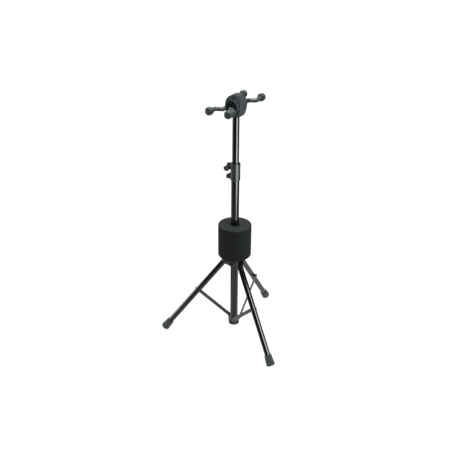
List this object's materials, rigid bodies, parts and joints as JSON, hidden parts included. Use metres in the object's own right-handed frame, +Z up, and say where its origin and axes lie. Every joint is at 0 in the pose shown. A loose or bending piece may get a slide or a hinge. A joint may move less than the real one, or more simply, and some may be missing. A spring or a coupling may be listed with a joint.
{
  "type": "double hanging guitar stand",
  "caption": "Folding tripod stand with a telescoping mast, a foam bumper and two swivelling rubber-covered yokes that hang guitars by the neck.",
  "frame": {"origin": "on the mast axis at floor level, midway between the three feet", "axes": "+Z up along the mast, -Y the way the front yoke points, and one leg points along +Y"},
  "size_m": [0.5084, 0.4448, 0.978],
  "materials": {
    "tube_paint": "gloss",
    "collar_plastic": "satin",
    "head_plastic": "satin",
    "core_plastic": "matte",
    "bush_plastic": "satin",
    "knob_plastic": "satin",
    "yoke_rubber": "satin",
    "foot_rubber": "matte",
    "bumper_foam": "matte",
    "strut_steel": "satin",
    "black_steel": "satin",
    "bare_steel": "satin",
    "insert_brass": "satin"
  },
  "bodies": {
    "mast": {"lower_mast_tube": "tube_paint", "clamp_collar": "collar_plastic", "collar_fixing_screw": "black_steel", "collar_bush": "bush_plastic", "collar_thread_insert": "insert_brass", "mast_end_cap": "collar_plastic", "strut_bracket": "collar_plastic", "strut_pivot_screws": "black_steel"},
    "mast_slider": {"mast_guide_bush": "bush_plastic"},
    "upper_mast": {"upper_mast_tube": "tube_paint", "head_front_shell": "head_plastic", "head_back_shell": "head_plastic", "head_core": "core_plastic", "head_screws": "black_steel", "yoke_axle": "bare_steel", "yoke_axle_screws": "bare_steel", "front_ring": "head_plastic", "back_ring": "head_plastic"},
    "front_yoke": {"front_yoke_rod": "bare_steel", "front_yoke_hub": "core_plastic", "front_yoke_bush": "bush_plastic", "front_yoke_right_sleeve": "yoke_rubber", "front_yoke_left_sleeve": "yoke_rubber"},
    "back_yoke": {"back_yoke_rod": "bare_steel", "back_yoke_hub": "core_plastic", "back_yoke_bush": "bush_plastic", "back_yoke_right_sleeve": "yoke_rubber", "back_yoke_left_sleeve": "yoke_rubber"},
    "collar_pad": {"collar_pressure_pad": "bush_plastic"},
    "collar_knob": {"collar_clamp_knob": "knob_plastic", "collar_clamp_spindle": "bare_steel"},
    "hub": {"hub_body": "collar_plastic", "hub_bush": "bush_plastic", "hub_thread_insert": "insert_brass", "leg_pivot_pins": "black_steel", "foam_bumper": "bumper_foam", "foam_liner": "bush_plastic"},
    "hub_pad": {"hub_pressure_pad": "bush_plastic"},
    "hub_knob": {"hub_clamp_knob": "knob_plastic", "hub_clamp_spindle": "bare_steel"},
    "leg_1": {"leg_1_tube": "tube_paint", "leg_1_hinge_plug": "bush_plastic", "leg_1_rubber_foot": "foot_rubber", "leg_1_strut_stub": "black_steel"},
    "strut_1": {"strut_1_bar": "strut_steel", "strut_1_rivet": "black_steel"},
    "leg_2": {"leg_2_tube": "tube_paint", "leg_2_hinge_plug": "bush_plastic", "leg_2_rubber_foot": "foot_rubber", "leg_2_strut_stub": "black_steel"},
    "strut_2": {"strut_2_bar": "strut_steel", "strut_2_rivet": "black_steel"},
    "leg_3": {"leg_3_tube": "tube_paint", "leg_3_hinge_plug": "bush_plastic", "leg_3_rubber_foot": "foot_rubber", "leg_3_strut_stub": "black_steel"},
    "strut_3": {"strut_3_bar": "strut_steel", "strut_3_rivet": "black_steel"}
  },
  "joints": [
    {"name": "mast_extension", "type": "slide", "parent": "mast", "child": "mast_slider", "axis": [0, 0, 1], "range_m": [-0.16, 0.22]},
    {"name": "mast_turn", "type": "hinge", "parent": "mast_slider", "child": "upper_mast", "pos_m": [0, 0, 0.7], "axis": [0, 0, 1], "continuous": true},
    {"name": "front_yoke_swivel", "type": "hinge", "parent": "upper_mast", "child": "front_yoke", "pos_m": [0, -0.026, 0.94], "axis": [0, 1, 0], "range_deg": [-30, 30]},
    {"name": "back_yoke_swivel", "type": "hinge", "parent": "upper_mast", "child": "back_yoke", "pos_m": [0, 0.026, 0.94], "axis": [0, 1, 0], "range_deg": [-30, 30]},
    {"name": "collar_pad_slide", "type": "slide", "parent": "mast", "child": "collar_pad", "axis": [-1, 0, 0], "range_m": [0, 0.0016]},
    {"name": "collar_knob_turn", "type": "hinge", "parent": "collar_pad", "child": "collar_knob", "pos_m": [-0.0319, 0, 0.703], "axis": [-1, 0, 0], "range_deg": [0, 360]},
    {"name": "hub_slide", "type": "slide", "parent": "mast", "child": "hub", "axis": [0, 0, 1], "range_m": [0, 0.0939]},
    {"name": "hub_pad_slide", "type": "slide", "parent": "hub", "child": "hub_pad", "axis": [-0.866, 0.5, 0], "range_m": [0, 0.0016]},
    {"name": "hub_knob_turn", "type": "hinge", "parent": "hub_pad", "child": "hub_knob", "pos_m": [-0.04114, 0.02375, 0.322], "axis": [-0.866, 0.5, 0], "range_deg": [0, 360]},
    {"name": "leg_1_fold", "type": "hinge", "parent": "hub", "child": "leg_1", "pos_m": [0, 0.0335, 0.328], "axis": [-1, 0, 0], "range_deg": [0, 35.6]},
    {"name": "strut_1_fold", "type": "hinge", "parent": "mast", "child": "strut_1", "pos_m": [0.0178, 0.013, 0.054], "axis": [1, 0, 0], "range_deg": [0, 38.3]},
    {"name": "leg_2_fold", "type": "hinge", "parent": "hub", "child": "leg_2", "pos_m": [-0.02901, -0.01675, 0.328], "axis": [0.5, -0.866, 0], "range_deg": [0, 35.6]},
    {"name": "strut_2_fold", "type": "hinge", "parent": "mast", "child": "strut_2", "pos_m": [-0.02016, 0.00891, 0.054], "axis": [-0.5, 0.866, 0], "range_deg": [0, 38.3]},
    {"name": "leg_3_fold", "type": "hinge", "parent": "hub", "child": "leg_3", "pos_m": [0.02901, -0.01675, 0.328], "axis": [0.5, 0.866, 0], "range_deg": [0, 35.6]},
    {"name": "strut_3_fold", "type": "hinge", "parent": "mast", "child": "strut_3", "pos_m": [0.00236, -0.02192, 0.054], "axis": [-0.5, -0.866, 0], "range_deg": [0, 38.3]}
  ],
  "couplings": [
    {"joint": "collar_pad_slide", "follows": "collar_knob_turn", "m_per_rad": 0.00019894},
    {"joint": "hub_pad_slide", "follows": "hub_knob_turn", "m_per_rad": 0.00019894},
    {"joint": "leg_1_fold", "follows": "hub_slide", "rad_per_m": 6.596},
    {"joint": "strut_1_fold", "follows": "hub_slide", "rad_per_m": 7.0925},
    {"joint": "leg_2_fold", "follows": "hub_slide", "rad_per_m": 6.596},
    {"joint": "strut_2_fold", "follows": "hub_slide", "rad_per_m": 7.0925},
    {"joint": "leg_3_fold", "follows": "hub_slide", "rad_per_m": 6.596},
    {"joint": "strut_3_fold", "follows": "hub_slide", "rad_per_m": 7.0925}
  ]
}
